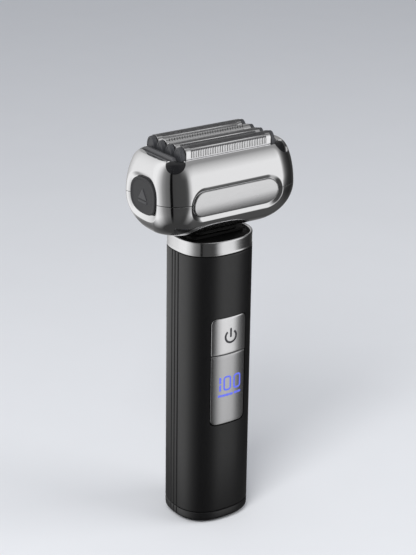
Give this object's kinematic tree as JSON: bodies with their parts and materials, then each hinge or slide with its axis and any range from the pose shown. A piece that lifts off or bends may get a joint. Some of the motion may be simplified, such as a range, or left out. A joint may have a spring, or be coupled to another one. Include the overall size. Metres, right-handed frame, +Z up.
{
  "type": "foil shaver",
  "caption": "Battery foil shaver: straight black handle with a tilting chrome head that carries arched cutting foils and centre trimmers.",
  "frame": {"origin": "middle of the flat base that the shaver stands on", "axes": "+Z up along the handle, -Y out of the display side, X along the head's long side with the left end at -X"},
  "size_m": [0.0612, 0.035, 0.154],
  "materials": {
    "black_soft": "soft-touch matte",
    "inner_black": "fine matte",
    "grey_plastic": "fine matte",
    "inner_grey": "as moulded",
    "chrome_shell": "satin to bright chrome",
    "collar_steel": "brushed round the ring",
    "satin_metal": "fine satin",
    "oval_metal": "satin",
    "foil_steel": "bright, perforated",
    "blade_steel": "ground",
    "drive_steel": "turned",
    "spring_steel": "bright wire",
    "rubber_seal": "matte",
    "circuit_board": "solder mask",
    "display_part": "smoked",
    "battery_wrap": "film wrapped",
    "nickel_tab": "plain",
    "lead_red": "insulation",
    "lead_black": "insulation"
  },
  "bodies": {
    "handle": {"handle_sleeve": "black_soft", "collar_ring": "collar_steel", "base_ring": "collar_steel", "base_cap": "black_soft", "usb_port": "drive_steel", "charge_board": "circuit_board", "base_seal": "rubber_seal", "chassis": "inner_grey", "battery_cell": "battery_wrap", "battery_tab_bottom": "nickel_tab", "battery_tab_top": "nickel_tab", "motor_can": "drive_steel", "motor_end_cap": "inner_grey", "motor_bracket": "inner_grey", "motor_lead_red": "lead_red", "motor_lead_black": "lead_black", "main_board": "circuit_board", "display_module": "display_part", "display_window": "satin_metal", "tact_switch": "inner_grey", "top_deck": "black_soft", "deck_seal": "rubber_seal", "neck_post": "black_soft", "neck_boot": "rubber_seal", "neck_screw_left": "drive_steel", "neck_screw_right": "drive_steel"},
    "power_button": {"power_button": "satin_metal"},
    "motor_rotor": {"motor_shaft": "drive_steel", "eccentric_cam": "drive_steel"},
    "head": {"lower_shell": "chrome_shell", "oval_panel_front": "oval_metal", "oval_panel_rear": "oval_metal", "head_floor": "inner_grey", "guide_rod_front": "drive_steel", "guide_rod_rear": "drive_steel", "tilt_pin_left": "drive_steel", "tilt_pin_right": "drive_steel"},
    "release_left": {"release_button_left": "grey_plastic", "release_spring_left": "spring_steel"},
    "release_right": {"release_button_right": "grey_plastic", "release_spring_right": "spring_steel"},
    "drive_bridge": {"drive_bridge": "inner_grey"},
    "foil_frame": {"upper_frame": "chrome_shell", "cassette_carrier": "inner_black"},
    "front_foil_unit": {"front_foil": "foil_steel", "front_foil_holder": "grey_plastic"},
    "front_trimmer_unit": {"front_trimmer": "foil_steel", "front_trimmer_holder": "grey_plastic"},
    "rear_trimmer_unit": {"rear_trimmer": "foil_steel", "rear_trimmer_holder": "grey_plastic"},
    "rear_foil_unit": {"rear_foil": "foil_steel", "rear_foil_holder": "grey_plastic"},
    "front_foil_blade_unit": {"front_foil_blade": "blade_steel", "front_foil_spring": "spring_steel"},
    "front_trimmer_blade_unit": {"front_trimmer_blade": "blade_steel", "front_trimmer_spring": "spring_steel"},
    "rear_trimmer_blade_unit": {"rear_trimmer_blade": "blade_steel", "rear_trimmer_spring": "spring_steel"},
    "rear_foil_blade_unit": {"rear_foil_blade": "blade_steel", "rear_foil_spring": "spring_steel"}
  },
  "joints": [
    {"name": "power_button_press", "type": "slide", "parent": "handle", "child": "power_button", "axis": [0, 1, 0], "range_m": [0, 0.0005], "stiffness_N_per_m": 800},
    {"name": "motor_spin", "type": "hinge", "parent": "handle", "child": "motor_rotor", "pos_m": [0, 0, 0.084], "axis": [0, 0, 1], "continuous": true},
    {"name": "head_tilt", "type": "hinge", "parent": "handle", "child": "head", "pos_m": [0, 0, 0.126], "axis": [1, 0, 0], "range_deg": [-7, 7], "stiffness_Nm_per_rad": 0.4},
    {"name": "release_left_press", "type": "slide", "parent": "head", "child": "release_left", "axis": [1, 0, 0], "range_m": [0, 0.0014], "stiffness_N_per_m": 900},
    {"name": "release_right_press", "type": "slide", "parent": "head", "child": "release_right", "axis": [-1, 0, 0], "range_m": [0, 0.0014], "stiffness_N_per_m": 900},
    {"name": "drive_bridge_slide", "type": "slide", "parent": "head", "child": "drive_bridge", "axis": [1, 0, 0], "range_m": [-0.0012, 0.0012]},
    {"name": "foil_frame_lift", "type": "slide", "parent": "head", "child": "foil_frame", "axis": [0, 0, 1], "range_m": [0, 0.032]},
    {"name": "front_foil_float", "type": "slide", "parent": "foil_frame", "child": "front_foil_unit", "axis": [0, 0, -1], "range_m": [0, 0.0012], "stiffness_N_per_m": 500, "springref_m": -0.001},
    {"name": "front_trimmer_float", "type": "slide", "parent": "foil_frame", "child": "front_trimmer_unit", "axis": [0, 0, -1], "range_m": [0, 0.0012], "stiffness_N_per_m": 500, "springref_m": -0.001},
    {"name": "rear_trimmer_float", "type": "slide", "parent": "foil_frame", "child": "rear_trimmer_unit", "axis": [0, 0, -1], "range_m": [0, 0.0012], "stiffness_N_per_m": 500, "springref_m": -0.001},
    {"name": "rear_foil_float", "type": "slide", "parent": "foil_frame", "child": "rear_foil_unit", "axis": [0, 0, -1], "range_m": [0, 0.0012], "stiffness_N_per_m": 500, "springref_m": -0.001},
    {"name": "front_foil_blade_float", "type": "slide", "parent": "drive_bridge", "child": "front_foil_blade_unit", "axis": [0, 0, -1], "range_m": [0, 0.0012], "deforming": ["front_foil_spring"]},
    {"name": "front_trimmer_blade_float", "type": "slide", "parent": "drive_bridge", "child": "front_trimmer_blade_unit", "axis": [0, 0, -1], "range_m": [0, 0.0012], "deforming": ["front_trimmer_spring"]},
    {"name": "rear_trimmer_blade_float", "type": "slide", "parent": "drive_bridge", "child": "rear_trimmer_blade_unit", "axis": [0, 0, -1], "range_m": [0, 0.0012], "deforming": ["rear_trimmer_spring"]},
    {"name": "rear_foil_blade_float", "type": "slide", "parent": "drive_bridge", "child": "rear_foil_blade_unit", "axis": [0, 0, -1], "range_m": [0, 0.0012], "deforming": ["rear_foil_spring"]}
  ],
  "couplings": [
    {"joint": "front_foil_blade_float", "follows": "front_foil_float", "ratio": 1},
    {"joint": "front_trimmer_blade_float", "follows": "front_trimmer_float", "ratio": 1},
    {"joint": "rear_trimmer_blade_float", "follows": "rear_trimmer_float", "ratio": 1},
    {"joint": "rear_foil_blade_float", "follows": "rear_foil_float", "ratio": 1}
  ]
}
